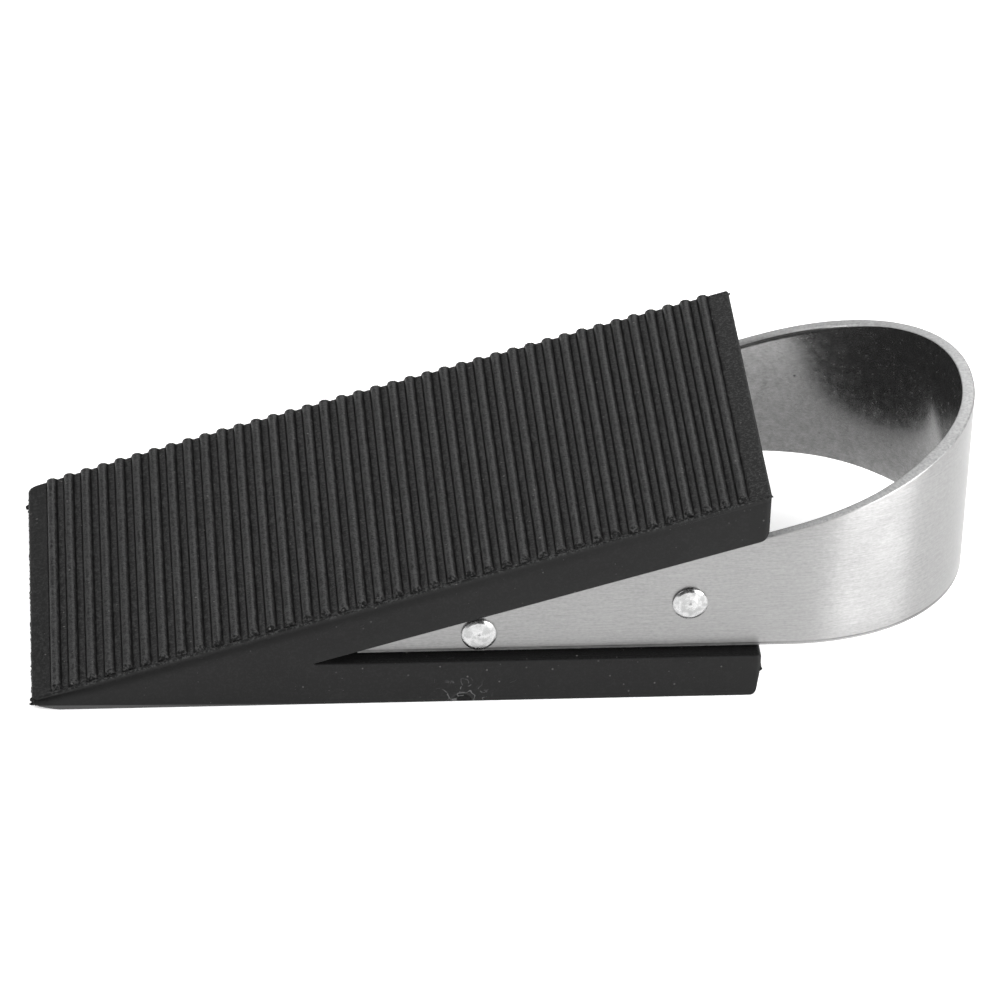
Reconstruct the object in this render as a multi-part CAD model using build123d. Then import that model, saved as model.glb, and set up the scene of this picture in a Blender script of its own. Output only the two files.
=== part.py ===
"""Door stop: a moulded rubber wedge with a riveted stainless handle strap.

Frame: +X runs from the thin tip to the handle loop, +Y is across the width and
+Z is up. The origin is on the floor, at the middle of the overall length and width.
"""
import os
from math import atan2, cos, sin

from build123d import *

# ---- driving dimensions, millimetres; stations along X are measured from the tip ----
OVERALL_LENGTH = 153.8      # tip to the outside of the loop

RUBBER_LENGTH = 117.3
RUBBER_WIDTH = 63.0
NOSE_HEIGHT = 2.4           # height of the blunt tip
HEEL_HEIGHT = 38.6          # height of the plain land at the thick end

SLOT_APEX = 45.0            # where the side slots begin
SLOT_FLOOR = 8.0            # top of the lower leg
SLOT_ROOF_AT_HEEL = 30.2    # underside of the upper flange at the thick end

RIB_COUNT = 39
RIB_PITCH = 3.0
RIB_WIDTH = 1.66
RIB_HEIGHT = 0.78
RIB_FIRST = 4.1             # along the slope, tip edge to the first rib's middle
RIB_END_MARGIN = 0.35       # plain strip between a rib's end and the side face

TIP_CORNER_RADIUS = 1.4     # upright corners at the tip
HEEL_CORNER_RADIUS = 0.9    # upright corners at the thick end
NOSE_UNDER_RADIUS = 1.3     # lower edge of the blunt tip
HEEL_UNDER_RADIUS = 1.8     # lower edge of the thick end
FLANGE_END_RADIUS = 1.4     # lower corner of the flange, beside the strap
LEG_END_RADIUS = 0.8        # upper corner of the lower leg, beside the strap

STRAP_THICKNESS = 1.8
STRAP_WIDTH = 59.0          # over the outside of the two legs
STRAP_UNDERSIDE = 8.6
STRAP_ROOF_GAP = 0.7        # below the flange, measured upright
STRAP_LEG_END = 52.2        # where the legs stop, inside the slots
STRAP_BEND_START = 121.6

RIVET_SHANK_RADIUS = 1.5
RIVET_HEAD_RADIUS = 2.85
RIVET_HEAD_EDGE = 0.5       # upright rim of the head
RIVET_HEAD_HEIGHT = 1.05    # top of the dome
RIVET_PIP_RADIUS = 0.6
RIVET_PIP_HEIGHT = 0.15
RIVET_CLEARANCE = 0.05
TIP_RIVET = (71.6, 12.0)    # station and height
HEEL_RIVET = (105.4, 17.2)

WEB_CLEARANCE = 0.05        # between the rubber web and each strap leg

# ---- worked out from the driving dimensions ----
TIP_X = -OVERALL_LENGTH / 2
HEEL_X = TIP_X + RUBBER_LENGTH
HALF_WIDTH = RUBBER_WIDTH / 2
STRAP_OUTER_Y = STRAP_WIDTH / 2
STRAP_INNER_Y = STRAP_OUTER_Y - STRAP_THICKNESS
WEB_HALF_WIDTH = STRAP_INNER_Y - WEB_CLEARANCE
BEND_X = TIP_X + STRAP_BEND_START
BEND_REACH = OVERALL_LENGTH - STRAP_BEND_START
SLOPE = atan2(HEEL_HEIGHT - NOSE_HEIGHT, RUBBER_LENGTH)
SLOT_RISE = (SLOT_ROOF_AT_HEEL - SLOT_FLOOR) / (RUBBER_LENGTH - SLOT_APEX)


def slot_roof(x):
    """Height of the flange's underside at x, also past the thick end."""
    return SLOT_FLOOR + SLOT_RISE * (x - TIP_X - SLOT_APEX)


def rounded_face(corners):
    """A flat outline from its corners (u, v, radius); a radius of 0 leaves a corner sharp."""
    face = make_face(Polyline([(u, v) for u, v, _ in corners], close=True))
    for u, v, radius in corners:
        if radius > 0:
            face = fillet(face.vertices().sort_by_distance((u, v, 0))[0], radius)
    return face


def side_prism(corners, y_low, y_high):
    """A side-view outline (x, z, radius) drawn out across the width, from y_low to y_high."""
    face = Plane.XZ * rounded_face(corners)
    return Pos(0, y_low, 0) * extrude(face, amount=y_high - y_low, dir=(0, 1, 0))


def plain_wedge():
    """The moulding's outer shape: its side view, with the corners of its plan rounded."""
    side = [
        (TIP_X, 0, NOSE_UNDER_RADIUS),
        (HEEL_X, 0, HEEL_UNDER_RADIUS),
        (HEEL_X, HEEL_HEIGHT, 0),
        (TIP_X, NOSE_HEIGHT, 0),
    ]
    plan = [
        (TIP_X, -HALF_WIDTH, TIP_CORNER_RADIUS),
        (HEEL_X, -HALF_WIDTH, HEEL_CORNER_RADIUS),
        (HEEL_X, HALF_WIDTH, HEEL_CORNER_RADIUS),
        (TIP_X, HALF_WIDTH, TIP_CORNER_RADIUS),
    ]
    upright = extrude(rounded_face(plan), amount=HEEL_HEIGHT)
    return side_prism(side, -HALF_WIDTH, HALF_WIDTH) & upright


def side_slot(y_low, y_high):
    """The V-shaped space beside the web, with a rounded mouth at the thick end."""
    outside = HEEL_X + HEEL_HEIGHT
    corners = [
        (TIP_X + SLOT_APEX, SLOT_FLOOR, 0),
        (HEEL_X, SLOT_FLOOR, LEG_END_RADIUS),
        (HEEL_X, 0, 0),
        (outside, 0, 0),
        (outside, HEEL_HEIGHT, 0),
        (HEEL_X, HEEL_HEIGHT, 0),
        (HEEL_X, SLOT_ROOF_AT_HEEL, FLANGE_END_RADIUS),
    ]
    return side_prism(corners, y_low, y_high)


def rib(index):
    """A half-round rib with rounded ends, across the sloped land."""
    radius = (RIB_HEIGHT ** 2 + (RIB_WIDTH / 2) ** 2) / (2 * RIB_HEIGHT)
    sunk = radius - RIB_HEIGHT
    along = RIB_FIRST + RIB_PITCH * index
    x = TIP_X + along * cos(SLOPE) + sunk * sin(SLOPE)
    z = NOSE_HEIGHT + along * sin(SLOPE) - sunk * cos(SLOPE)
    reach = HALF_WIDTH - RIB_END_MARGIN - radius
    bar = Pos(x, 0, z) * Rot(90, 0, 0) * Cylinder(radius, 2 * reach)
    ends = [Pos(x, y, z) * Sphere(radius) for y in (-reach, reach)]
    return bar + ends


def rivet_bore(station, height, reach):
    """The hole that a rivet's shank passes through."""
    bore = Cylinder(RIVET_SHANK_RADIUS + RIVET_CLEARANCE, 2 * reach)
    return Pos(TIP_X + station, 0, height) * Rot(90, 0, 0) * bore


def rubber_wedge():
    """One moulding: ribbed flange, lower leg, and the web that joins them between the slots."""
    body = plain_wedge()
    body -= side_slot(WEB_HALF_WIDTH, RUBBER_WIDTH)
    body -= side_slot(-RUBBER_WIDTH, -WEB_HALF_WIDTH)
    body += [rib(index) for index in range(RIB_COUNT)]
    for station, height in (TIP_RIVET, HEEL_RIVET):
        body -= rivet_bore(station, height, STRAP_INNER_Y)
    return body


def strap_outline(half_width, reach, leg_end):
    """Plan outline of the U: two straight legs joined by half an ellipse."""
    bend = EllipticalCenterArc((BEND_X, 0), reach, half_width, start_angle=-90, arc_size=180)
    far_leg = Line((BEND_X, half_width), (leg_end, half_width))
    across = Line((leg_end, half_width), (leg_end, -half_width))
    near_leg = Line((leg_end, -half_width), (BEND_X, -half_width))
    return make_face([bend, far_leg, across, near_leg])


def handle_strap():
    """Sheet strap bent into a U; its top edge is cut parallel to the flange."""
    leg_end = TIP_X + STRAP_LEG_END
    outer = strap_outline(STRAP_OUTER_Y, BEND_REACH, leg_end)
    inner = strap_outline(STRAP_INNER_Y, BEND_REACH - STRAP_THICKNESS, leg_end - STRAP_THICKNESS)
    band = extrude(outer - inner, amount=OVERALL_LENGTH)
    past_loop = OVERALL_LENGTH
    side_view = [
        (leg_end, STRAP_UNDERSIDE, 0),
        (past_loop, STRAP_UNDERSIDE, 0),
        (past_loop, slot_roof(past_loop) - STRAP_ROOF_GAP, 0),
        (leg_end, slot_roof(leg_end) - STRAP_ROOF_GAP, 0),
    ]
    strap = band & side_prism(side_view, -RUBBER_WIDTH, RUBBER_WIDTH)
    for station, height in (TIP_RIVET, HEEL_RIVET):
        strap -= rivet_bore(station, height, RUBBER_WIDTH)
    return strap


def through_rivet(station, height):
    """A long rivet across the wedge, with a low domed head on each strap leg."""
    face_y = STRAP_OUTER_Y
    rim_y = face_y + RIVET_HEAD_EDGE
    dome_y = face_y + RIVET_HEAD_HEIGHT
    pip_y = dome_y + RIVET_PIP_HEIGHT
    shoulder = (RIVET_HEAD_RADIUS * 0.7, rim_y + (dome_y - rim_y) * 0.72)
    outline = [
        Line((0, 0), (RIVET_SHANK_RADIUS, 0)),
        Line((RIVET_SHANK_RADIUS, 0), (RIVET_SHANK_RADIUS, face_y)),
        Line((RIVET_SHANK_RADIUS, face_y), (RIVET_HEAD_RADIUS, face_y)),
        Line((RIVET_HEAD_RADIUS, face_y), (RIVET_HEAD_RADIUS, rim_y)),
        ThreePointArc((RIVET_HEAD_RADIUS, rim_y), shoulder, (RIVET_PIP_RADIUS, dome_y)),
        Line((RIVET_PIP_RADIUS, dome_y), (RIVET_PIP_RADIUS, pip_y)),
        Line((RIVET_PIP_RADIUS, pip_y), (0, pip_y)),
        Line((0, pip_y), (0, 0)),
    ]
    one_side = revolve(make_face(outline), Axis.Y)
    rivet = one_side + mirror(one_side, Plane.XZ)
    return Pos(TIP_X + station, 0, height) * rivet


NODES = {
    "rubber_wedge": rubber_wedge(),
    "handle_strap": handle_strap(),
    "tip_rivet": through_rivet(*TIP_RIVET),
    "heel_rivet": through_rivet(*HEEL_RIVET),
}

os.makedirs("parts", exist_ok=True)
for name, shape in NODES.items():
    export_step(shape, f"parts/{name}.step")
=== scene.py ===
"""Looks of the door stop: ribbed rubber wedge, brushed strap handle, turned rivets."""
import math

import bmesh
import bpy
import numpy as np
from mathutils import Matrix, Vector, noise


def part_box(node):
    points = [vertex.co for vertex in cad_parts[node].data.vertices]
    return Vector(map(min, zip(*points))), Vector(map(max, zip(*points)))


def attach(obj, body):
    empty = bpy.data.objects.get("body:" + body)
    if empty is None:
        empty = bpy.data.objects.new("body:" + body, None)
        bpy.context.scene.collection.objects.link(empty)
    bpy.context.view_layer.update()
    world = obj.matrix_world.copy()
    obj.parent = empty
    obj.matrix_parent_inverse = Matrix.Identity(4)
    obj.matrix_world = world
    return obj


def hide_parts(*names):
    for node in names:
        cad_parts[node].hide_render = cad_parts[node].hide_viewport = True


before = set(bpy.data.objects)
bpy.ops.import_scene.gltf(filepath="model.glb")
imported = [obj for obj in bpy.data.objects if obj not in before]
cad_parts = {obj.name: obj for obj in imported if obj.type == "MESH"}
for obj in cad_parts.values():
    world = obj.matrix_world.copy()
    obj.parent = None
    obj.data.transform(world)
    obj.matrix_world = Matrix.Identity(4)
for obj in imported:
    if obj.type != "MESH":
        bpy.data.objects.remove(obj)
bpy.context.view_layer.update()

MM = 0.001

# ---- places and sizes read from the frame, in metres ----
WEDGE_LOW, WEDGE_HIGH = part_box("rubber_wedge")
STRAP_LOW, STRAP_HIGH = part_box("handle_strap")
LENGTH = WEDGE_HIGH.x - WEDGE_LOW.x
HALF_WIDTH = WEDGE_HIGH.y
HEEL_HEIGHT = WEDGE_HIGH.z
TIP_X = WEDGE_LOW.x
HEEL_X = TIP_X + LENGTH

# ---- the wedge's outline, as in the CAD part ----
NOSE_HEIGHT = 2.4 * MM
SLOT_APEX = 45.0 * MM
SLOT_FLOOR = 8.0 * MM
SLOT_ROOF_AT_HEEL = 30.2 * MM
TIP_CORNER = 1.4 * MM
HEEL_CORNER = 0.9 * MM
SLOPE = math.atan2(HEEL_HEIGHT - NOSE_HEIGHT, LENGTH)
SLOT_RISE = (SLOT_ROOF_AT_HEEL - SLOT_FLOOR) / (LENGTH - SLOT_APEX)

# ---- the ribs: their ends stop short of the wedge's sides by a margin, and spread into feet ----
RIB_COUNT = 39
RIB_PITCH = 3.0 * MM
RIB_WIDTH = 1.66 * MM
RIB_HEIGHT = 0.78 * MM
RIB_FIRST = 4.1 * MM
RIB_MARGIN_NEAR = 0.62 * MM
RIB_MARGIN_TIP = 0.3 * MM
RIB_MARGIN_FAR = 0.1 * MM
RIB_END_SLOPE = 1.9
FOOT_SPREAD = 0.3
FOOT_REACH = 0.3 * MM
CREASE_DEPTH = 0.2 * MM
CREASE_REACH = 0.26 * MM
LAND_WAVE = 0.035 * MM

# ---- the wedge's rounded edges and its moulded unevenness ----
NOSE_UNDER = 0.4 * MM
NOSE_RAMP = 4.6 * MM
NOSE_RISE = 1.0 * MM
NOSE_CURVE = 1.4
PARTING_AT_TIP = 1.2 * MM
FAR_TAPER = 1.2 * MM
HEEL_UNDER = 1.2 * MM
FLANGE_END = 1.4 * MM
LEG_END = 0.8 * MM
LEG_DRAFT = 0.65 * MM
LEG_DRAFT_TOP = 5.0 * MM
LEG_DRAFT_REACH = 3.0 * MM
LAND_EDGE = 0.3 * MM
SLOT_EDGE = 0.3 * MM
UNDER_EDGE = 0.5 * MM
RIDGE_RISE = 0.15 * MM
LIP_HEIGHT = 0.5 * MM
LIP_GROOVE = 0.4 * MM
GROOVE_SPAN = 1.9 * MM
GROOVE_CLEARANCE = 0.4 * MM
LEG_ROWS = [0, 0.3, 0.6, 0.655, 0.69, 0.725, 0.85, 1]
RIDGE_ROW = 4
GROOVE_ROWS = [1, 0.72, 0.48, 0.26, 0.1, 0.03]
GROOVE_DEPTHS = [0, 0.12, 0.42, 0.8, 1, 0.9]
SOLE_REACH = 62.0 * MM
SOLE_HEIGHT = 1.1 * MM
GATE_STATION = 69.0 * MM
GATE_RADIUS = 1.9 * MM

# ---- the strap and the rivets ----
STRAP_THICKNESS = 1.8 * MM
STRAP_ROOF_GAP = 0.7 * MM
STRAP_BEND_START = 121.6 * MM
BEND_THICKENING = 0.28 * MM
BEND_FULLNESS = 2.12
STRAP_OUTER_EDGE = 0.3 * MM
STRAP_LOWER_EDGE = 0.12 * MM
BEND_INNER_EDGE = 0.16 * MM
LEG_INNER_EDGE = 0.65 * MM
LEG_EDGE_STRETCH = 0.8
# height of the dark line painted on the strap's outside as the shadow of a rolled burr, which is not
# modelled
BURR_SHADOW_HEIGHT = 0.52 * MM
# how far a face of the strap turns outwards, as a cosine, where its outside and its inside begin
OUTSIDE_LIMIT, INSIDE_LIMIT = 0.85, -0.97
LEG_RIM_WIDENING = 0.12
WEB_HALF_WIDTH = STRAP_HIGH.y - STRAP_THICKNESS - 0.05 * MM
SHANK_RADIUS = 1.5 * MM
CROWN_RISE = 0.42 * MM
CROWN_CURVE = 1.35
CHAMFER_RISE = 0.3 * MM
CHAMFER_WIDTH = 0.5 * MM
PIP_RADIUS = 0.85 * MM
PIP_RISE = 0.09 * MM


def slot_roof(station):
    """Height of the flange's underside at a distance from the tip."""
    return SLOT_FLOOR + SLOT_RISE * (station - SLOT_APEX)


# ---- mesh helpers ----
def new_object(name, mesh):
    """Puts a mesh in the scene as an object."""
    piece = bpy.data.objects.new(name, mesh)
    bpy.context.scene.collection.objects.link(piece)
    return piece


def finish_mesh(mesh, angle):
    """Merges what coincides, points the faces outwards and smooths all but the sharp edges."""
    work = bmesh.new()
    work.from_mesh(mesh)
    bmesh.ops.remove_doubles(work, verts=work.verts, dist=1e-7)
    bmesh.ops.recalc_face_normals(work, faces=work.faces)
    for edge in work.edges:
        if len(edge.link_faces) == 2:
            edge.smooth = edge.calc_face_angle(0) < angle
    for face in work.faces:
        face.smooth = True
    work.to_mesh(mesh)
    work.free()
    mesh.update()


def lattice_solid(name, points, solid, angle=math.radians(40)):
    """A closed mesh around the filled cells of a bent lattice.

    points is an array (I, J, K, 3) and solid says which of its cells are filled.
    """
    shape = points.shape[:3]
    index = np.arange(shape[0] * shape[1] * shape[2]).reshape(shape)
    padded = np.pad(solid, 1)
    quads = []
    for axis in range(3):
        cells = np.moveaxis(padded, axis, 0)[:, 1:-1, 1:-1]
        wall = cells[1:] != cells[:-1]
        corner = np.moveaxis(index, axis, 0)
        a = corner[:, :-1, :-1][wall]
        b = corner[:, 1:, :-1][wall]
        c = corner[:, 1:, 1:][wall]
        d = corner[:, :-1, 1:][wall]
        quads.append(np.stack([a, b, c, d], axis=1))
    quads = np.concatenate(quads)
    used, compact = np.unique(quads, return_inverse=True)
    mesh = bpy.data.meshes.new(name)
    mesh.from_pydata(points.reshape(-1, 3)[used], [], compact.reshape(-1, 4).tolist())
    finish_mesh(mesh, angle)
    return new_object(name, mesh)


def drop(distance, radius):
    """How far a rounded edge falls away, at a distance in from the edge."""
    inside = np.clip(radius - distance, 0, radius)
    return radius - np.sqrt(radius ** 2 - inside ** 2)


# ---- rubber wedge ----
def wedge_columns():
    """Places across the width: close together at the edges and rib ends."""
    edge = [0, 0.02, 0.07, 0.15, 0.26, 0.4, 0.55, 0.7, 0.85, 1.0, 1.15, 1.3, 1.5, 1.9, 2.7]
    flank = [HALF_WIDTH - d * MM for d in edge] + [WEB_HALF_WIDTH]
    middle = list(np.linspace(-WEB_HALF_WIDTH, WEB_HALF_WIDTH, 19)[1:-1])
    return np.array(sorted([-y for y in flank] + middle + flank))


def wedge_stations():
    """Distances from the tip: close together on each rib and at both ends."""
    half_rib = [0.3, 0.55, 0.74, 0.88, 0.97, 1, 1.12, 1.35]
    across_rib = [-t for t in half_rib] + [0] + half_rib
    nose = [0, 0.03, 0.1, 0.2, 0.32, 0.5, 0.75, 1.05, 1.4, 2.2]
    heel = [0, 0.03, 0.1, 0.2, 0.35, 0.55, 0.8, 1.1, 1.45, 1.8, 2.6]
    stations = [d * MM for d in nose] + [LENGTH - d * MM for d in heel]
    for rib in range(RIB_COUNT):
        middle = RIB_FIRST + RIB_PITCH * rib
        stations += [(middle + RIB_WIDTH / 2 * t) * math.cos(SLOPE) for t in across_rib]
        stations.append((middle + RIB_PITCH / 2) * math.cos(SLOPE))
    apex_room = 0.12 * MM
    stations = [s for s in stations if abs(s - SLOT_APEX) > apex_room and s <= LENGTH]
    return np.array(sorted(set(stations + [SLOT_APEX])))


def rib_relief(along, y):
    """Height of the ribs, and of the creases round them, at a distance along the slope and across."""
    half = RIB_WIDTH / 2
    radius = (RIB_HEIGHT ** 2 + half ** 2) / (2 * RIB_HEIGHT)
    number = np.clip(np.round((along - RIB_FIRST) / RIB_PITCH), 0, RIB_COUNT - 1)
    off = along - RIB_FIRST - RIB_PITCH * number
    margin = RIB_MARGIN_NEAR + RIB_MARGIN_TIP * np.clip(1 - along / (LENGTH / 2), 0, 1)
    from_end = np.minimum(y + HALF_WIDTH - margin, HALF_WIDTH - RIB_MARGIN_FAR - y)
    lopsided = np.where(off > 0, 1.0, 0.35)
    foot = 1 + FOOT_SPREAD * lopsided * np.exp(-np.maximum(from_end, 0) / FOOT_REACH)
    across = np.abs(off) / foot
    rib = np.sqrt(np.maximum(radius ** 2 - across ** 2, 0)) - (radius - RIB_HEIGHT)
    rib = np.minimum(rib, from_end * RIB_END_SLOPE)
    outside = np.maximum(np.abs(off) - half * foot, -from_end)
    crease = np.clip(1 - np.abs(outside) / CREASE_REACH, 0, 1)
    room = np.clip((HALF_WIDTH - np.abs(y)) / (0.5 * MM), 0, 1)
    return np.maximum(rib, 0) - CREASE_DEPTH * crease * room


def land_wave(x, y):
    """A slight unevenness of the ribbed face, smooth along the ribs."""
    waves_along, waves_across, slice_height = 240, 90, 3.7
    wave = np.zeros(x.shape)
    for index in np.ndindex(x.shape):
        place = Vector((x[index] * waves_along, y[index] * waves_across, slice_height))
        wave[index] = noise.noise(place)
    return wave * LAND_WAVE


def round_plan_corner(x, y, radius, corner_x):
    """Moves the points of a square plan corner onto a round one."""
    u = np.clip((radius - np.abs(x - corner_x)) / radius, 0, 1)
    v = np.clip((np.abs(y) - (HALF_WIDTH - radius)) / radius, 0, 1)
    both = (u > 0) & (v > 0)
    u_new = u * np.sqrt(1 - v ** 2 / 2)
    v_new = v * np.sqrt(1 - u ** 2 / 2)
    inward = np.sign(LENGTH / 2 - corner_x)
    x = np.where(both, corner_x + inward * radius * (1 - u_new), x)
    y = np.where(both, np.sign(y) * (HALF_WIDTH - radius + radius * v_new), y)
    return x, y


def wedge_rows(x, y):
    """Heights of the lower leg's rows, and of the flange's, at each column and station."""
    side, from_heel = HALF_WIDTH - np.abs(y), LENGTH - x
    top = NOSE_HEIGHT + x * math.tan(SLOPE) - drop(side, LAND_EDGE)
    top = top - drop(np.minimum(x, from_heel), LAND_EDGE)
    bottom = drop(side, UNDER_EDGE) + np.maximum(drop(x, NOSE_UNDER), drop(from_heel, HEEL_UNDER))
    bottom = bottom + NOSE_RISE * np.clip(1 - x / NOSE_RAMP, 0, 1) ** NOSE_CURVE

    # ahead of the slot's apex its roof and floor are one plane, which cuts no slot
    parting = PARTING_AT_TIP + (SLOT_FLOOR - PARTING_AT_TIP) * x / SLOT_APEX
    roof = slot_roof(x) + drop(side, SLOT_EDGE) + drop(from_heel, FLANGE_END)
    roof = np.where(x > SLOT_APEX, roof, parting)
    floor = SLOT_FLOOR - drop(side, SLOT_EDGE) - drop(from_heel, LEG_END)
    floor = np.where(x > SLOT_APEX, floor, parting)

    room = np.minimum(1, (top - roof) / (GROOVE_SPAN + LIP_HEIGHT + GROOVE_CLEARANCE))
    lip_base = top - LIP_HEIGHT * room
    groove_base = lip_base - GROOVE_SPAN * room
    leg = [bottom + (floor - bottom) * t for t in LEG_ROWS]
    flange = [roof, roof + (groove_base - roof) * 0.5]
    flange += [lip_base - GROOVE_SPAN * room * t for t in GROOVE_ROWS]
    return leg, flange + [lip_base, top]


def add_relief(x, y, z):
    """Raises the ribs on the top row, sinks the groove under the lip and adds the heel's ridge."""
    relief = rib_relief(x[:, :, -1] / math.cos(SLOPE), y[:, :, -1])
    x[:, :, -1] -= relief * math.sin(SLOPE)
    z[:, :, -1] += relief * math.cos(SLOPE)
    # the groove is deepest at the tip and runs out towards the heel
    fade = np.clip(1.3 - 1.25 * x[:, :, 0] / LENGTH, 0.05, 1)
    for row, depth in enumerate(GROOVE_DEPTHS, start=len(LEG_ROWS) + 2):
        y[:, :, row] *= 1 - LIP_GROOVE * depth * fade / HALF_WIDTH
    x[:, -1, RIDGE_ROW] += RIDGE_RISE


def soften_plan(x, y, z):
    """Drafts the leg's end, rounds the corners in plan and draws the far side in at the tip."""
    near_end = np.clip(1 - (LENGTH - x) / LEG_DRAFT_REACH, 0, 1)
    x = x - LEG_DRAFT * near_end * np.clip(1 - z / LEG_DRAFT_TOP, 0, 1)
    x, y = round_plan_corner(x, y, TIP_CORNER, 0.0)
    x, y = round_plan_corner(x, y, HEEL_CORNER, LENGTH)
    taper = FAR_TAPER * np.clip(1 - x / SLOT_APEX, 0, 1) ** 2
    return x, y - taper * np.clip(y / HALF_WIDTH, 0, 1)


def rubber_wedge():
    """The moulding: a lattice of columns across, stations along and rows up, less the two slots."""
    columns, stations = wedge_columns(), wedge_stations()
    y, x = np.meshgrid(columns, stations, indexing="ij")
    leg, flange = wedge_rows(x, y)
    z = np.stack(leg + flange, axis=2)
    rows = z.shape[2]
    x = np.repeat(x[:, :, None], rows, axis=2)
    y = np.repeat(y[:, :, None], rows, axis=2)
    add_relief(x, y, z)
    x, y = soften_plan(x, y, z)
    clear_of_edge = np.clip((HALF_WIDTH - np.abs(columns)) / MM - 0.4, 0, 1)
    z[:, :, -1] += land_wave(x[:, :, -1], y[:, :, -1]) * clear_of_edge[:, None]

    solid = np.ones((len(columns) - 1, len(stations) - 1, rows - 1), bool)
    flank = np.abs((columns[1:] + columns[:-1]) / 2) > WEB_HALF_WIDTH
    behind_apex = stations[:-1] >= SLOT_APEX
    slot_row = len(leg) - 1
    solid[np.ix_(flank, behind_apex, [slot_row])] = False
    piece = lattice_solid("ribbed_wedge", np.stack([x + TIP_X, y, z], axis=3), solid)
    mark_wedge(piece.data)
    return piece


def mark_wedge(mesh):
    """Point attributes: the crests, where a highlight is painted; the creases, the lip groove and the
    slot floor, where shade is painted; and the flanks.
    """
    place = np.zeros(len(mesh.vertices) * 3)
    mesh.vertices.foreach_get("co", place)
    x, y, z = place.reshape(-1, 3).T
    x, rise = x - TIP_X, z - NOSE_HEIGHT
    along = x * math.cos(SLOPE) + rise * math.sin(SLOPE)
    above = rise * math.cos(SLOPE) - x * math.sin(SLOPE)

    number = np.clip(np.round((along - RIB_FIRST) / RIB_PITCH), 0, RIB_COUNT - 1)
    off = np.abs(along - RIB_FIRST - RIB_PITCH * number)
    ribbed = np.clip((HALF_WIDTH - RIB_MARGIN_NEAR - np.abs(y)) / (0.3 * MM) + 0.5, 0, 1)
    low_down = np.clip(1 - above / (0.45 * MM), 0, 1) * (above > -0.2 * MM)
    # Painted shade: the creases at the rib feet are darkened in colour.
    crease = np.clip(1.15 - np.abs(off - RIB_WIDTH / 2) / (0.22 * MM), 0, 1) * ribbed * low_down

    # Painted shade: the groove under the lip and the slot floor under the strap, both darkened in colour.
    outermost = np.clip((np.abs(y) - HALF_WIDTH + 0.75 * MM) / (0.2 * MM), 0, 1)
    below_lip = -above / math.cos(SLOPE) - LIP_HEIGHT
    in_groove = np.clip(below_lip / (0.15 * MM) + 0.6, 0, 1)
    in_groove = in_groove * np.clip(1 - below_lip / GROOVE_SPAN, 0, 1)
    groove = outermost * in_groove * np.clip(1.15 - x / LENGTH, 0.15, 1)
    at_floor = (np.abs(z - SLOT_FLOOR) < 0.12 * MM) & (x > SLOT_APEX + 0.3 * MM)
    ledge_shade = np.where(at_floor & (np.abs(y) > WEB_HALF_WIDTH - 0.1 * MM), 1.0, 0.0)
    marks = {
        "crest": np.clip(above / RIB_HEIGHT, 0, 1) ** 2,
        "crease": crease,
        "flank": outermost * np.clip(-above / (0.4 * MM), 0, 1),
        "groove": np.maximum(groove, ledge_shade),
    }
    for name, value in marks.items():
        layer = mesh.attributes.new(name, "FLOAT", "POINT")
        layer.data.foreach_set("value", value.astype(np.float32))


# ---- mould flash ----
def nib(middle, size, width):
    """A torn nib, in millimetres: its place along a line, how far it stands out and its half width."""
    return middle * MM, size * MM, width * MM


def torn(places, seed, base, nibs):
    """How far the flash stands out at each place: a rough base and a few torn nibs."""
    reach = []
    for place in places:
        rough = noise.noise(Vector((place * 1.7 / MM, seed, 0.5)))
        rough += 0.4 * noise.noise(Vector((place * 5 / MM, seed, 9.5)))
        length = base * (0.45 + rough)
        for middle, size, width in nibs:
            length += size * max(0.0, 1 - abs(place - middle) / width) * (0.8 + 0.5 * rough)
        reach.append(max(length, -0.1 * MM))
    return reach


def flash_strip(work, points, outward, reach):
    """Adds a thin closed strip of torn flash along a line, standing out from it by reach."""
    half_root = Vector((0, 0, 0.09 * MM))
    rings = []
    for point, length in zip(points, reach):
        root = point - outward * 0.35 * MM
        edge = point + outward * length
        corners = (root - half_root, root + half_root, edge + half_root * 0.5, edge - half_root * 0.5)
        rings.append([work.verts.new(corner) for corner in corners])
    for first, second in zip(rings, rings[1:]):
        for i in range(4):
            j = (i + 1) % 4
            work.faces.new((first[i], first[j], second[j], second[i]))
    work.faces.new(rings[0])
    work.faces.new(rings[-1][::-1])


def torn_nub(work, centre, size, seed):
    """Adds a small rough lump, as wide as size in millimetres each way from its centre."""
    lump = bmesh.ops.create_icosphere(work, subdivisions=3, radius=1.0)
    for vertex in lump["verts"]:
        rough = 1 + 0.35 * noise.noise(vertex.co * 1.9 + Vector((seed, 0, 0)))
        stretch = Vector([c * s * rough * MM for c, s in zip(vertex.co, size)])
        vertex.co = centre + stretch


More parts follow.
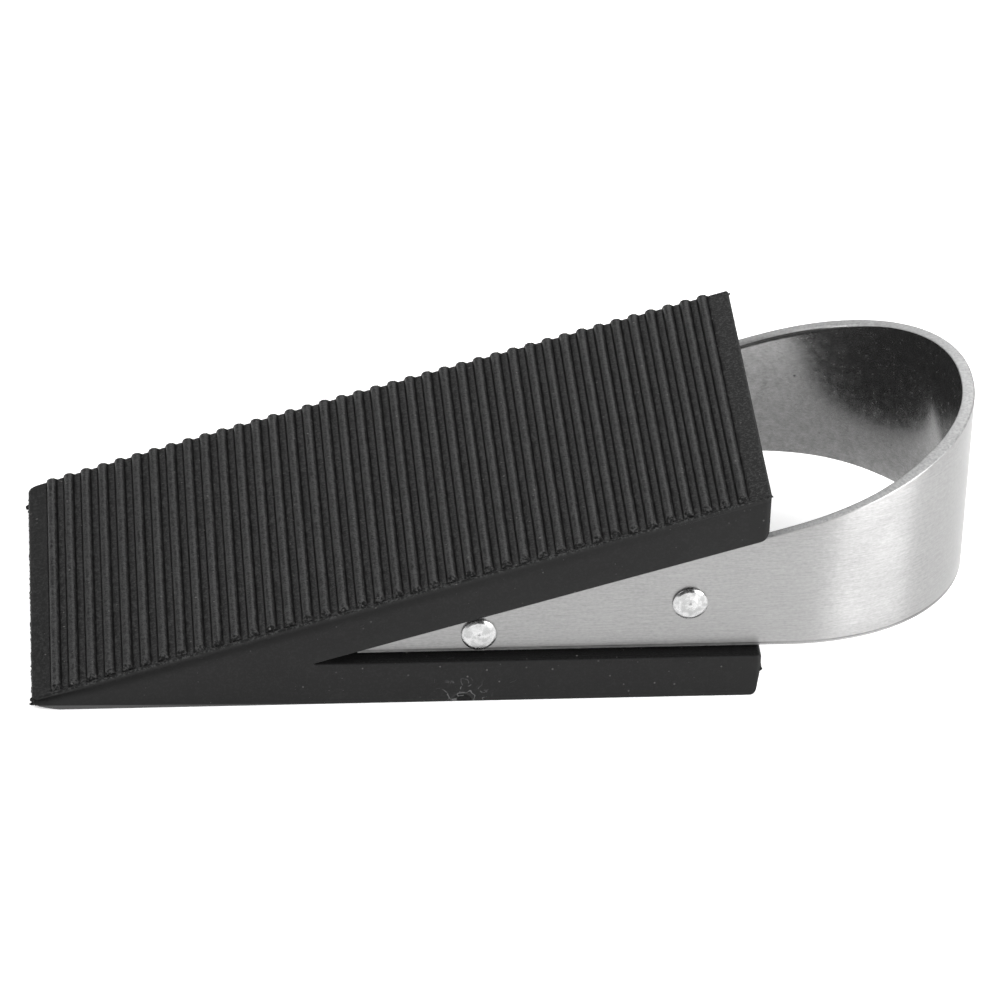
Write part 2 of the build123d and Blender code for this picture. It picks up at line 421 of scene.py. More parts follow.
def mould_flash():
    """Torn flash where the mould closed: round the tip, and at the heel's upper and lower edge."""
    work = bmesh.new()
    near_y, end_room = -HALF_WIDTH, 0.45 * MM

    tip = np.linspace(near_y + 0.7 * MM, HALF_WIDTH - 2.1 * MM, 190)
    nibs = [nib(-30.4, 0.3, 0.6), nib(25.2, 0.45, 0.7), nib(28.9, 0.4, 0.5)]
    points = [Vector((TIP_X + 0.05 * MM, y, NOSE_UNDER + 0.35 * MM)) for y in tip]
    flash_strip(work, points, Vector((-1, 0, 0)), torn(tip, 1.0, 0.16 * MM, nibs))

    side = np.linspace(0.6 * MM, 4.2 * MM, 40)
    nibs = [nib(1.5, 0.3, 0.5), nib(2.9, 0.25, 0.4), nib(4.4, 0.15, 0.4)]
    points = [Vector((TIP_X + x, near_y + 0.35 * MM, 1.15 * MM - 0.12 * x)) for x in side]
    flash_strip(work, points, Vector((-0.15, -0.85, -0.5)), torn(side, 2.0, 0.2 * MM, nibs))

    flange = np.linspace(near_y + end_room, HALF_WIDTH - end_room, 190)
    nibs = [nib(-31.0, 0.4, 0.5), nib(30.9, 0.5, 0.6), nib(22.0, 0.1, 0.5)]
    points = [Vector((HEEL_X - 0.03 * MM, y, HEEL_HEIGHT - 0.45 * MM)) for y in flange]
    flash_strip(work, points, Vector((1, 0, 0)), torn(flange, 3.0, 0.05 * MM, nibs))

    leg = np.linspace(near_y + end_room, HALF_WIDTH - end_room, 120)
    nibs = [nib(-30.9, 0.4, 0.5), nib(30.6, 0.3, 0.5)]
    points = [Vector((HEEL_X - 0.03 * MM, y, 5.5 * MM)) for y in leg]
    flash_strip(work, points, Vector((1, 0, 0)), torn(leg, 4.0, 0.06 * MM, nibs))

    nubs = [
        ((TIP_X + 0.1 * MM, near_y + 0.75 * MM, 1.75 * MM), (0.4, 0.45, 0.3)),
        ((TIP_X + 0.75 * MM, near_y + 0.5 * MM, 1.2 * MM), (0.5, 0.4, 0.28)),
        ((TIP_X + 0.1 * MM, HALF_WIDTH - 6.0 * MM, 1.5 * MM), (0.55, 0.5, 0.45)),
        ((HEEL_X - 0.05 * MM, near_y + 0.8 * MM, 4.9 * MM), (0.3, 0.35, 0.42)),
    ]
    for seed, (centre, size) in enumerate(nubs, start=5):
        torn_nub(work, Vector(centre), size, seed)

    mesh = bpy.data.meshes.new("mould_flash")
    bmesh.ops.recalc_face_normals(work, faces=work.faces)
    work.to_mesh(mesh)
    work.free()
    return new_object("mould_flash", mesh)


# ---- handle strap ----
def strap_line():
    """Points and outward directions of the strap's outer face in plan, from the near leg's end."""
    bend_x = TIP_X + STRAP_BEND_START
    reach = STRAP_HIGH.x - bend_x
    half = STRAP_HIGH.y
    leg = np.linspace(STRAP_LOW.x, bend_x, 40)[:-1]
    near = [(x, -half, 0.0, -1.0) for x in leg]
    bend = []
    for angle in np.linspace(-math.pi / 2, math.pi / 2, 97):
        ahead, aside = max(math.cos(angle), 0.0), abs(math.sin(angle))
        side = math.copysign(1.0, angle)
        x = bend_x + reach * ahead ** (2 / BEND_FULLNESS)
        y = side * half * aside ** (2 / BEND_FULLNESS)
        nx = ahead ** (2 - 2 / BEND_FULLNESS) / reach
        ny = side * aside ** (2 - 2 / BEND_FULLNESS) / half
        size = math.hypot(nx, ny)
        bend.append((x, y, nx / size, ny / size))
    far = [(x, half, 0.0, 1.0) for x in leg[::-1]]
    return np.array(near + bend + far)


def strap_section(on_leg):
    """Depths into the sheet, and how far its upper edge falls away there, all along the strap."""
    inner_edge = BEND_INNER_EDGE + (LEG_INNER_EDGE - BEND_INNER_EDGE) * on_leg
    through = np.array([0, 0.12, 0.3, 0.5, 0.74, 1])
    depth = (1 - np.cos(through * math.pi / 2))[:, None]
    outer = np.repeat(STRAP_OUTER_EDGE * depth, len(on_leg), axis=1)
    across = np.concatenate([outer, STRAP_THICKNESS - inner_edge * depth[::-1]])
    fall = drop(STRAP_THICKNESS - across, inner_edge) * (1 + LEG_EDGE_STRETCH * on_leg)
    return across, drop(across, STRAP_OUTER_EDGE) + fall


def handle_strap():
    """The bent sheet: a lattice of depths into it, places along it and rows up."""
    line = strap_line()
    x, y, nx, ny = line.T
    on_leg = np.clip((np.abs(ny) - 0.75) / 0.2, 0, 1)
    across, fall = strap_section(on_leg)
    turned = np.clip((nx + 0.1) / 0.8, 0, 1)
    thickening = 1 + BEND_THICKENING / STRAP_THICKNESS * turned ** 2 * (3 - 2 * turned)
    inwards = across * thickening
    low = STRAP_LOW.z + fall * STRAP_LOWER_EDGE / STRAP_OUTER_EDGE
    high = slot_roof(x - TIP_X) - STRAP_ROOF_GAP - fall
    rows = [0, 0.12, 0.35, 0.65, 0.88, 1]
    x, y = x - nx * inwards, y - ny * inwards
    points = np.stack([np.stack([x, y, low + (high - low) * t], axis=2) for t in rows], axis=2)
    piece = lattice_solid("brushed_strap", points, np.ones([n - 1 for n in points.shape[:3]], bool))
    add_strap_coordinates(piece.data, line)
    choose_strap_finish(piece.data, line, on_leg)
    return piece


def add_strap_coordinates(mesh, line):
    """A UV layer in metres: along the strap, and up."""
    steps = np.hypot(np.diff(line[:, 0]), np.diff(line[:, 1]))
    along = np.concatenate([[0], np.cumsum(steps)])
    layer = mesh.uv_layers.new(name="along_strap")
    place = np.array([v.co for v in mesh.vertices])
    nearest = [np.argmin(np.hypot(*(line[:, :2] - point).T)) for point in place[:, :2]]
    for loop in mesh.loops:
        layer.data[loop.index].uv = (along[nearest[loop.vertex_index]], place[loop.vertex_index, 2])


def choose_strap_finish(mesh, line, on_leg):
    """Gives each face the outside, inside or rim finish by how far it faces outwards."""
    outside, inside, rim = range(3)
    for face in mesh.polygons:
        nearest = np.argmin(np.hypot(line[:, 0] - face.center.x, line[:, 1] - face.center.y))
        outwards = Vector((line[nearest, 2], line[nearest, 3], 0)).dot(face.normal)
        if INSIDE_LIMIT + LEG_RIM_WIDENING * on_leg[nearest] < outwards < OUTSIDE_LIMIT:
            face.material_index = rim
        else:
            face.material_index = outside if outwards > 0 else inside


# ---- rivets ----
def rivet_profile(head, end):
    """Radii and distances out along half a rivet: shank, chamfered head, low crown and centre swell."""
    seat = STRAP_HIGH.y - 0.01 * MM
    shoulder = end - PIP_RISE - CROWN_RISE - CHAMFER_RISE
    profile = [(SHANK_RADIUS, seat), (head - 0.12 * MM, seat), (head, seat + 0.11 * MM), (head, shoulder)]
    for inwards, up in ((0.03, 0.1), (0.12, 0.22), (0.84, 0.9), (0.94, 0.975), (1, 1)):
        profile.append((head - CHAMFER_WIDTH * inwards, shoulder + CHAMFER_RISE * up))
    flat = head - CHAMFER_WIDTH
    for radius in np.linspace(flat, PIP_RADIUS, 9)[1:]:
        rise = CROWN_RISE * (1 - (radius / flat) ** CROWN_CURVE)
        profile.append((radius, shoulder + CHAMFER_RISE + rise))
    pip_base = profile[-1][1]
    for share in (0.8, 0.6, 0.4, 0.2, 0):
        swell = (1 + math.cos(share * math.pi)) / 2
        profile.append((PIP_RADIUS * share, pip_base + (end - pip_base) * swell))
    return profile


def turned_rivet(node, name):
    """A rivet across the wedge, lathe-turned round a line along Y, with the same head on each end."""
    low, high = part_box(node)
    centre = (low + high) / 2
    profile = rivet_profile((high.x - low.x) / 2, high.y)
    segments = 64
    work = bmesh.new()
    rings = []
    for radius, y in [(r, -y) for r, y in reversed(profile)] + profile:
        turns = [2 * math.pi * i / segments for i in range(segments if radius > 0 else 1)]
        ring = [(centre.x + radius * math.cos(t), y, centre.z + radius * math.sin(t)) for t in turns]
        rings.append([work.verts.new(place) for place in ring])
    for first, second in zip(rings, rings[1:]):
        for i in range(segments):
            j = i + 1
            corners = [first[i % len(first)], first[j % len(first)]]
            corners += [second[j % len(second)], second[i % len(second)]]
            work.faces.new(list(dict.fromkeys(corners)))
    mesh = bpy.data.meshes.new(name)
    work.to_mesh(mesh)
    work.free()
    finish_mesh(mesh, math.radians(50))
    return new_object(name, mesh)


# ---- materials ----
class Shader:
    """Makes and joins the nodes of one material."""

    def __init__(self, name):
        self.material = bpy.data.materials.new(name)
        self.material.use_nodes = True
        self.tree = self.material.node_tree
        self.surface = self.tree.nodes["Principled BSDF"]

    def fill(self, socket, value):
        """Links another node's output to a socket, or sets a plain value on it."""
        if isinstance(value, bpy.types.NodeSocket):
            self.tree.links.new(value, socket)
        else:
            socket.default_value = value

    def set(self, **values):
        for name, value in values.items():
            self.fill(self.surface.inputs[name.replace("_", " ")], value)

    # ---- numbers ----
    def math(self, operation, first, second=0.0, clamp=False):
        node = self.tree.nodes.new("ShaderNodeMath")
        node.operation = operation
        node.use_clamp = clamp
        self.fill(node.inputs[0], first)
        self.fill(node.inputs[1], second)
        return node.outputs[0]

    def plus(self, first, second, clamp=False):
        return self.math("ADD", first, second, clamp)

    def minus(self, first, second, clamp=False):
        return self.math("SUBTRACT", first, second, clamp)

    def times(self, first, second, clamp=False):
        return self.math("MULTIPLY", first, second, clamp)

    def larger(self, first, second):
        return self.math("MAXIMUM", first, second)

    def gap(self, first, second):
        """How far apart two numbers are."""
        return self.math("ABSOLUTE", self.minus(first, second))

    def average(self, first, second):
        return self.plus(self.times(first, 0.5), self.times(second, 0.5))

    def dimmed(self, value, mask, share, clamp=False):
        """A value that loses a share of itself where the mask is 1."""
        return self.times(value, self.minus(1.0, self.times(mask, share)), clamp)

    def ramp(self, value, low, high, out_low=0.0, out_high=1.0, smooth=True):
        """Goes from out_low to out_high, and stops there, as the value goes from low to high."""
        node = self.tree.nodes.new("ShaderNodeMapRange")
        node.interpolation_type = "SMOOTHSTEP" if smooth else "LINEAR"
        for socket, number in zip(node.inputs, (value, low, high, out_low, out_high)):
            self.fill(socket, number)
        return node.outputs[0]

    # ---- places on the piece ----
    def position(self, kind="Object"):
        """A place on the piece: in metres, or with Generated as a share of its box."""
        return self.tree.nodes.new("ShaderNodeTexCoord").outputs[kind]

    def uv(self, layer):
        node = self.tree.nodes.new("ShaderNodeUVMap")
        node.uv_map = layer
        return node.outputs[0]

    def attribute(self, name):
        node = self.tree.nodes.new("ShaderNodeAttribute")
        node.attribute_name = name
        return node.outputs["Fac"]

    def scaled(self, vector, x, y, z):
        node = self.tree.nodes.new("ShaderNodeMapping")
        node.inputs["Scale"].default_value = (x, y, z)
        self.fill(node.inputs["Vector"], vector)
        return node.outputs[0]

    def part(self, vector, axis):
        """One of a vector's numbers, by its axis letter."""
        node = self.tree.nodes.new("ShaderNodeSeparateXYZ")
        self.fill(node.inputs[0], vector)
        return node.outputs["XYZ".index(axis)]

    def distance(self, vector, point):
        node = self.tree.nodes.new("ShaderNodeVectorMath")
        node.operation = "DISTANCE"
        self.fill(node.inputs[0], vector)
        node.inputs[1].default_value = point
        return node.outputs["Value"]

    def tangent(self, axis):
        node = self.tree.nodes.new("ShaderNodeTangent")
        node.direction_type = "RADIAL"
        node.axis = axis
        return node.outputs[0]

    # ---- patterns ----
    def noise(self, vector, scale, detail=2.0, roughness=0.5, distortion=0.0):
        node = self.tree.nodes.new("ShaderNodeTexNoise")
        self.fill(node.inputs["Vector"], vector)
        node.inputs["Scale"].default_value = scale
        node.inputs["Detail"].default_value = detail
        node.inputs["Roughness"].default_value = roughness
        node.inputs["Distortion"].default_value = distortion
        return node.outputs["Fac"]

    def specks(self, vector, scale, radius, share):
        """Sparse round dots: a share of the cells of a grid of random points each hold one."""
        node = self.tree.nodes.new("ShaderNodeTexVoronoi")
        self.fill(node.inputs["Vector"], vector)
        node.inputs["Scale"].default_value = scale
        split = self.tree.nodes.new("ShaderNodeSeparateColor")
        self.fill(split.inputs[0], node.outputs["Color"])
        chosen = self.math("LESS_THAN", split.outputs[0], share)
        size = self.times(radius, self.plus(split.outputs[1], 0.4))
        dot = self.ramp(self.math("DIVIDE", node.outputs["Distance"], size), 1.0, 0.5)
        strength = self.plus(self.times(split.outputs[2], 0.75), 0.25)
        return self.times(self.times(dot, chosen), strength)

    def hairlines(self, vector, scale, width, share):
        """Thin curved lines: short pieces of a noise field's level line."""
        field = self.noise(vector, scale, detail=1.0)
        line = self.ramp(self.gap(field, 0.5), width, width * 0.3)
        pieces = self.ramp(self.noise(vector, scale * 3.1, detail=1.0), 1.0 - share, 1.04 - share)
        return self.times(line, pieces)

    # ---- colour and relief ----
    def mix(self, factor, first, second):
        node = self.tree.nodes.new("ShaderNodeMix")
        node.data_type = "RGBA"
        self.fill(node.inputs["Factor"], factor)
        self.fill(node.inputs[6], first)
        self.fill(node.inputs[7], second)
        return node.outputs[2]

    def stain(self, colour, mask, share, other):
        """A colour that goes over to another one, by a share, where the mask is 1."""
        return self.mix(self.times(mask, share), colour, other)

    def bump(self, height, distance):
        node = self.tree.nodes.new("ShaderNodeBump")
        node.inputs["Strength"].default_value = 1.0
        node.inputs["Distance"].default_value = distance
        self.fill(node.inputs["Height"], height)
        return node.outputs[0]


def grey(value, warmth=0.0):
    """A grey, with its red raised and its blue lowered by a share."""
    return (value * (1 + warmth), value, value * (1 - warmth), 1)


def plain_ground(shader, spot):
    """Where the rubber's grain fades: on the lands at both ends of the ribs, and on the heel's face."""
    x = shader.part(spot, "X")
    first_rib = TIP_X + (RIB_FIRST - RIB_WIDTH / 2) * math.cos(SLOPE)
    last_rib = first_rib + (RIB_PITCH * (RIB_COUNT - 1) + RIB_WIDTH) * math.cos(SLOPE)
    tip_land = shader.ramp(x, first_rib, first_rib - 0.5 * MM)
    heel_land = shader.ramp(x, last_rib, last_rib + 0.5 * MM, 0.0, 0.5)
    heel_face = shader.ramp(x, HEEL_X - 0.5 * MM, HEEL_X - 0.1 * MM)
    return shader.larger(shader.larger(tip_land, heel_land), heel_face)


def gate_mark(shader, spot, flank, marks):
    """The mould's gate on both lower flanks: a smooth disc, and the scuffs on its rim and round it."""
    from_gate = shader.distance(shader.scaled(spot, 1, 0, 1), (TIP_X + GATE_STATION, 0.0, 0.0))
    disc = shader.times(shader.ramp(from_gate, GATE_RADIUS, GATE_RADIUS * 0.75), flank)
    rim = shader.ramp(shader.gap(from_gate, GATE_RADIUS), 0.2 * MM, 0.06 * MM)
    rim = shader.times(rim, shader.ramp(marks, 0.42, 0.6, 0.1, 0.8))
    around = shader.ramp(from_gate, GATE_RADIUS * 3.0, GATE_RADIUS * 1.2)
    scuffs = shader.times(around, shader.hairlines(spot, 480, 0.026, 0.58))
    return disc, shader.times(shader.larger(scuffs, rim), flank)


def sole_reflection_strip(shader, spot, flank):
    """A painted reflection of the bright floor: the paler strip along the foot of the flanks, which runs
    out towards the heel.
    """
    x = shader.part(spot, "X")
    height = shader.ramp(x, TIP_X, TIP_X + SOLE_REACH, SOLE_HEIGHT, 0.0, smooth=False)
    above = shader.minus(shader.part(spot, "Z"), height)
    return shader.times(shader.ramp(above, 0.08 * MM, -0.06 * MM), flank)


def rubber_material():
    """Matt black moulded rubber: grainy ribbed face, smoother flanks, dust, hairlines; painted highlight
    on the crests, painted shade in the creases, the lip groove, the slot floor and partly on the flanks,
    and a painted floor reflection along their foot.
    """
    shader = Shader("moulded_black_rubber")
    spot = shader.position()
    crest, crease = shader.attribute("crest"), shader.attribute("crease")
    flank, groove = shader.attribute("flank"), shader.attribute("groove")
    fine = shader.noise(spot, 3100, roughness=0.6)
    coarse = shader.noise(spot, 1750, detail=3.0, roughness=0.65)
    grain = shader.average(fine, coarse)
    patches = shader.noise(spot, 75, detail=4.0, distortion=0.8)
    marks = shader.noise(spot, 480, detail=3.0)
    dust = shader.larger(shader.specks(spot, 950, 0.16, 0.3), shader.specks(spot, 260, 0.05, 0.08))
    dust = shader.dimmed(dust, flank, 0.45)
    hairs = shader.hairlines(spot, 140, 0.003, 0.3)
    gate, scuffs = gate_mark(shader, spot, flank, marks)
    sole_reflection = sole_reflection_strip(shader, spot, flank)
    # The flanks lose most of their grain, as the smoother real faces do, and get a darker colour that is
    # painted shade set against the bright floor's light on them.
    face = shader.minus(1.0, shader.times(flank, 0.84))
    face = shader.dimmed(face, plain_ground(shader, spot), 0.55)

    tone = shader.ramp(grain, 0.43, 0.59, -0.55, 1.2)
    tone = shader.plus(tone, shader.ramp(patches, 0.3, 0.7, -0.05, 0.08))
    tone = shader.plus(tone, shader.ramp(marks, 0.35, 0.75, -0.04, 0.06))
    # Painted highlight: the rib crests are lighter in colour.
    tone = shader.plus(tone, shader.times(crest, 0.2))
    tone = shader.times(shader.larger(tone, 0.0), face)
    # Painted shade in the rib creases.
    tone = shader.dimmed(tone, crease, 0.95)
    tone = shader.dimmed(tone, gate, 0.9, clamp=True)
    colour = shader.mix(tone, grey(0.001, -0.01), grey(0.036))
    # Painted shade: the groove under the lip and the slot floor turn near black.
    colour = shader.stain(colour, groove, 0.9, grey(0.001))
    # Painted reflection of the bright floor along the foot of the flanks.
    colour = shader.stain(colour, sole_reflection, 0.85, grey(0.055))
    colour = shader.stain(colour, scuffs, 0.85, grey(0.09))
    colour = shader.stain(colour, dust, 0.85, grey(0.15, 0.02))
    colour = shader.stain(colour, hairs, 0.3, grey(0.07))

    rough = shader.ramp(grain, 0.4, 0.6, 0.44, 0.7)
    rough = shader.plus(rough, shader.ramp(patches, 0.3, 0.7, -0.04, 0.05))
    rough = shader.minus(rough, shader.times(crest, 0.08))
    rough = shader.plus(rough, shader.times(shader.larger(crease, groove), 0.2))
    rough = shader.plus(rough, shader.times(shader.larger(dust, gate), 0.3), clamp=True)

    height = shader.times(shader.plus(grain, shader.times(marks, 0.8)), face)
    height = shader.plus(height, shader.times(dust, 1.2))
    height = shader.minus(height, hairs)
    height = shader.minus(height, shader.times(gate, 2.0))
    shader.set(Base_Color=colour, Roughness=rough, Normal=shader.bump(height, 0.12 * MM))
    shader.set(Specular_IOR_Level=0.225)
    return shader.material


def brushed_material():
    """The strap's outside: stainless steel brushed lengthwise, with a few stray scratches and a painted
    shadow line along its lower edge.
    """
    shader = Shader("brushed_stainless_outside")
    along = shader.uv("along_strap")
    spot = shader.position()
    lines = shader.noise(shader.scaled(along, 230, 3600, 1), 1.0, detail=3.0, roughness=0.6)
    fine = shader.noise(shader.scaled(along, 1200, 7000, 1), 1.0)
    grain = shader.average(lines, fine)
    mottle = shader.noise(spot, 1700, detail=3.0, roughness=0.6)
    cloud = shader.noise(spot, 60)
    scratches = shader.hairlines(shader.scaled(along, 60, 260, 1), 1.0, 0.003, 0.3)
    specks = shader.specks(spot, 380, 0.06, 0.03)
    # Painted shadow: a broken dark line along the outside, as cast by a rolled burr near the lower edge.
    burr_shadow = shader.gap(shader.part(along, "Y"), STRAP_LOW.z + BURR_SHADOW_HEIGHT)
    burr_shadow = shader.ramp(burr_shadow, 0.2 * MM, 0.08 * MM)
    broken = shader.ramp(shader.noise(shader.scaled(along, 90, 1, 1), 1.0), 0.3, 0.6, 0.25, 0.7)

    tone = shader.ramp(grain, 0.34, 0.66, 0.1, 0.9, smooth=False)
    tone = shader.plus(tone, shader.ramp(cloud, 0.3, 0.7, -0.14, 0.1))
    tone = shader.plus(tone, shader.ramp(mottle, 0.3, 0.7, -0.12, 0.12), clamp=True)
    colour = shader.mix(tone, grey(0.258, 0.004), grey(0.377, 0.006))
    colour = shader.stain(colour, burr_shadow, broken, grey(0.08))
    colour = shader.stain(colour, scratches, 0.1, grey(0.6))
    colour = shader.stain(colour, specks, 0.3, grey(0.2))
    rough = shader.ramp(grain, 0.3, 0.7, 0.28, 0.35)
    rough = shader.plus(rough, shader.ramp(cloud, 0.3, 0.7, -0.01, 0.01))
    height = shader.minus(grain, scratches)
    shader.set(Base_Color=colour, Roughness=rough, Normal=shader.bump(height, 0.002 * MM))
    shader.set(Tangent=shader.tangent("Z"), Metallic=1.0, Anisotropic=0.95, Anisotropic_Rotation=0.25)
    return shader.material


def mill_material():
    """The strap's inside: as rolled, smoother, blotchy and smudged."""
    shader = Shader("mill_finish_inside")
    spot = shader.position()
    along = shader.uv("along_strap")
    blotch = shader.noise(spot, 700, detail=5.0, roughness=0.62, distortion=0.3)
    smudge = shader.ramp(shader.noise(spot, 110, detail=3.0), 0.6, 0.75)
    rolled = shader.noise(shader.scaled(along, 1500, 3000, 1), 1.0, roughness=0.7)
    specks = shader.specks(spot, 620, 0.16, 0.22)
    hairs = shader.hairlines(spot, 300, 0.008, 0.35)
    scuffs = shader.noise(spot, 1500, detail=4.0, roughness=0.7, distortion=1.0)
    scuffs = shader.ramp(scuffs, 0.52, 0.68)

    tone = shader.ramp(blotch, 0.3, 0.7, 0.3, 0.65)
    tone = shader.plus(tone, shader.ramp(rolled, 0.3, 0.7, -0.05, 0.25))
    tone = shader.minus(tone, shader.times(smudge, 0.7), clamp=True)
    colour = shader.mix(tone, grey(0.16, 0.006), grey(0.345, 0.004))
    colour = shader.stain(colour, specks, 0.7, grey(0.1))
    rough = shader.plus(shader.ramp(blotch, 0.3, 0.7, 0.16, 0.22), shader.times(smudge, 0.03))
    rough = shader.plus(rough, shader.times(shader.larger(hairs, specks), 0.1))
    rough = shader.plus(rough, shader.times(scuffs, 0.075))
    height = shader.plus(blotch, shader.times(rolled, 0.5))
    shader.set(Base_Color=colour, Roughness=rough, Normal=shader.bump(height, 0.0012 * MM))
    shader.set(Metallic=0.92)
    return shader.material


def rim_material():
    """The strap's cut edges: ground across, with fine cross marks."""
    shader = Shader("ground_rim")
    along = shader.uv("along_strap")
    spot = shader.position()
    cross = shader.noise(shader.scaled(along, 2600, 60, 1), 1.0, detail=3.0, roughness=0.7)
    wide = shader.noise(spot, 2300, detail=3.0, roughness=0.6)
    pits = shader.specks(spot, 700, 0.16, 0.2)
    tone = shader.ramp(cross, 0.3, 0.7, 0.0, 0.4)
    tone = shader.plus(tone, shader.ramp(wide, 0.3, 0.7, 0.0, 0.5))
    colour = shader.mix(tone, grey(0.28), grey(0.5))
    colour = shader.stain(colour, pits, 0.25, grey(0.15))
    rough = shader.ramp(cross, 0.3, 0.7, 0.5, 0.65)
    height = shader.minus(cross, pits)
    shader.set(Base_Color=colour, Roughness=rough, Normal=shader.bump(height, 0.005 * MM))
    shader.set(Metallic=1.0)
    return shader.material


def turned_material():
    """Bright lathe-turned rivet metal: rings round the middle, small knocks, greyer outer edge."""
    shader = Shader("bright_turned_metal")
    spot = shader.position()
    boxed = shader.scaled(shader.position("Generated"), 1, 0, 1)
    radius = shader.distance(boxed, (0.5, 0.0, 0.5))
    outwards = shader.tree.nodes.new("ShaderNodeCombineXYZ")
    shader.fill(outwards.inputs[0], radius)
    rings = shader.noise(outwards.outputs[0], 85)
    cloud = shader.noise(spot, 900, detail=4.0, roughness=0.6)
    knocks = shader.specks(spot, 1500, 0.16, 0.1)

    tone = shader.ramp(rings, 0.3, 0.7, 0.1, 0.45)
    tone = shader.plus(tone, shader.ramp(cloud, 0.38, 0.62, 0.0, 0.55))
    colour = shader.mix(tone, grey(0.26), grey(0.58))
    colour = shader.stain(colour, knocks, 0.35, grey(0.35))
    # greyer towards the head's outer edge
    colour = shader.mix(shader.ramp(radius, 0.46, 0.5), colour, grey(0.34))
    rough = shader.ramp(cloud, 0.3, 0.7, 0.18, 0.3)
    height = shader.plus(shader.times(rings, 0.5), shader.minus(cloud, knocks))
    shader.set(Base_Color=colour, Roughness=rough, Normal=shader.bump(height, 0.0006 * MM))
    shader.set(Tangent=shader.tangent("Y"), Metallic=1.0, Anisotropic=0.5, Anisotropic_Rotation=0.25)
    return shader.material


def floor_material():
    """Pale seamless studio board."""
    shader = Shader("pale_floor")
    mottle = shader.noise(shader.position(), 14, detail=3.0)
    shader.set(Base_Color=shader.mix(mottle, grey(0.9), grey(0.94)), Roughness=0.9)
    shader.set(Emission_Color=grey(1.0), Emission_Strength=0.5)
    return shader.material


# ---- camera and light: distances in metres, sensor and lens in millimetres ----
CAMERA_AZIMUTH = math.radians(-5.59)
CAMERA_ELEVATION = math.radians(33.32)
CAMERA_ROLL = math.radians(2.01)
CAMERA_DISTANCE = 0.92856
CAMERA_AIM = Vector((0.28, -0.33, 18.2)) * MM
SENSOR_WIDTH = 36.0
FOCAL_LENGTH = 203.625

ROOM_LIGHT = 0.47
DIM_LIGHT = 0.1
DIM_ELEVATION = math.radians(52)
# cosines of the angle from the dim zone's middle at which it starts and is full
DIM_STARTS, DIM_FULL = 0.35, 0.85
FLOOR_HALF_SIZE = 6.0


def direction(azimuth, elevation):
    """Which way a place lies from the object. Azimuth 0 is in front and 90 on the loop's side."""
    level = math.cos(elevation)
    return Vector((math.sin(azimuth) * level, -math.cos(azimuth) * level, math.sin(elevation)))


def add_camera():
    """A long lens in front of the object, above it and slightly tilted."""
    back = direction(CAMERA_AZIMUTH, CAMERA_ELEVATION)
    right = (-back).cross(Vector((0, 0, 1))).normalized()
    up = right.cross(-back)
    tilted_right = math.cos(CAMERA_ROLL) * right + math.sin(CAMERA_ROLL) * up
    tilted_up = -math.sin(CAMERA_ROLL) * right + math.cos(CAMERA_ROLL) * up
    data = bpy.data.cameras.new("camera")
    data.sensor_width = SENSOR_WIDTH
    data.lens = FOCAL_LENGTH
    data.clip_start = 0.01
    data.clip_end = 20
    camera = bpy.data.objects.new("camera", data)
    turn = Matrix((tilted_right, tilted_up, back)).transposed().to_4x4()
    camera.matrix_world = Matrix.Translation(CAMERA_AIM + back * CAMERA_DISTANCE) @ turn
    bpy.context.scene.collection.objects.link(camera)
    bpy.context.scene.camera = camera


def add_softbox(name, azimuth, elevation, distance, size, power):
    """A soft rectangular light that looks at the object from a direction, given in degrees."""
    aim = Vector((0, 0, 0.02))
    away = direction(math.radians(azimuth), math.radians(elevation)) * distance
    data = bpy.data.lights.new(name, "AREA")
    data.shape = "RECTANGLE"
    data.size, data.size_y = size
    data.energy = power
    light = bpy.data.objects.new(name, data)
    light.location = aim + away
    light.rotation_euler = (-away).to_track_quat("-Z", "Y").to_euler()
    bpy.context.scene.collection.objects.link(light)


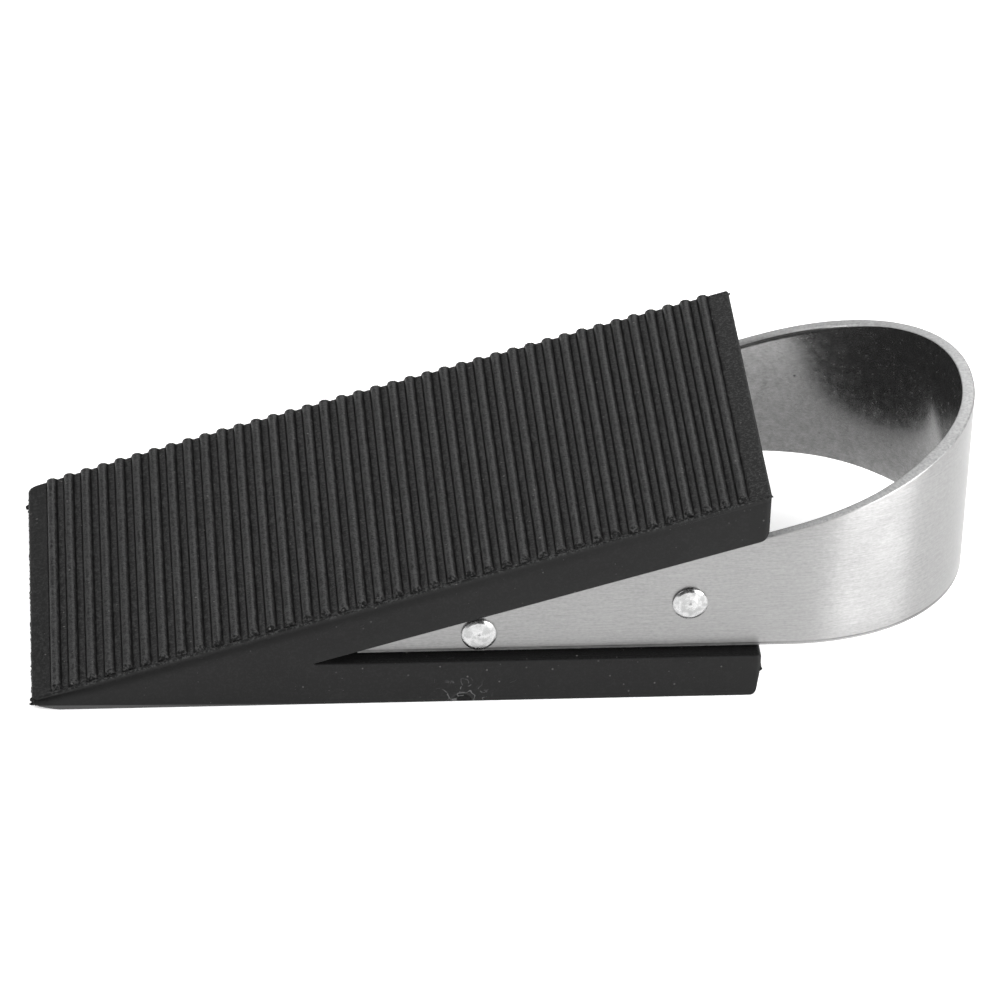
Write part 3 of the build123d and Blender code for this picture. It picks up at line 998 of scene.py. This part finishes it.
def add_surroundings():
    """A pale room that is dim high up in front, as a studio is above and behind the camera."""
    world = bpy.data.worlds.new("studio")
    bpy.context.scene.world = world
    world.use_nodes = True
    tree = world.node_tree
    background = tree.nodes["Background"]
    background.inputs["Color"].default_value = (1, 1, 1, 1)
    towards = tree.nodes.new("ShaderNodeVectorMath")
    towards.operation = "DOT_PRODUCT"
    tree.links.new(tree.nodes.new("ShaderNodeTexCoord").outputs["Generated"], towards.inputs[0])
    towards.inputs[1].default_value = direction(0.0, DIM_ELEVATION)
    fade = tree.nodes.new("ShaderNodeMapRange")
    fade.interpolation_type = "SMOOTHSTEP"
    tree.links.new(towards.outputs["Value"], fade.inputs[0])
    for socket, value in zip(list(fade.inputs)[1:5], (DIM_STARTS, DIM_FULL, ROOM_LIGHT, DIM_LIGHT)):
        socket.default_value = value
    tree.links.new(fade.outputs[0], background.inputs["Strength"])


def add_stage():
    """The floor, the room's light and four softboxes."""
    mesh = bpy.data.meshes.new("floor")
    half = FLOOR_HALF_SIZE
    corners = [(-half, -half, 0), (half, -half, 0), (half, half, 0), (-half, half, 0)]
    mesh.from_pydata(corners, [], [(0, 1, 2, 3)])
    floor = new_object("floor", mesh)
    floor.data.materials.append(floor_material())
    add_surroundings()
    add_softbox("right_softbox", 48.5, 21, 0.7, (0.5, 0.4), 6.7)
    add_softbox("back_softbox", 158, 40, 1.1, (0.8, 0.5), 4.5)
    add_softbox("left_softbox", -75, 40, 1.0, (0.8, 0.6), 5.0)
    add_softbox("top_softbox", 0, 89, 1.2, (1.0, 1.0), 3.8)


# ---- assembly ----
def place(piece, materials, slot, *nodes):
    """Finishes a piece: its materials, its body and the CAD nodes it stands for. The slot argument is not
    used.
    """
    for material in materials:
        piece.data.materials.append(material)
    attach(piece, "root")
    if nodes:
        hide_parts(*nodes)


bpy.context.scene.view_settings.view_transform = "Standard"
add_camera()
add_stage()
steel = [brushed_material(), mill_material(), rim_material()]
bright = [turned_material()]
rubber = [rubber_material()]
place(rubber_wedge(), rubber, "moulded_rubber", "rubber_wedge")
place(mould_flash(), rubber, "moulded_rubber")
place(handle_strap(), steel, "brushed_stainless", "handle_strap")
place(turned_rivet("tip_rivet", "tip_turned_rivet"), bright, "bright_rivet", "tip_rivet")
place(turned_rivet("heel_rivet", "heel_turned_rivet"), bright, "bright_rivet", "heel_rivet")
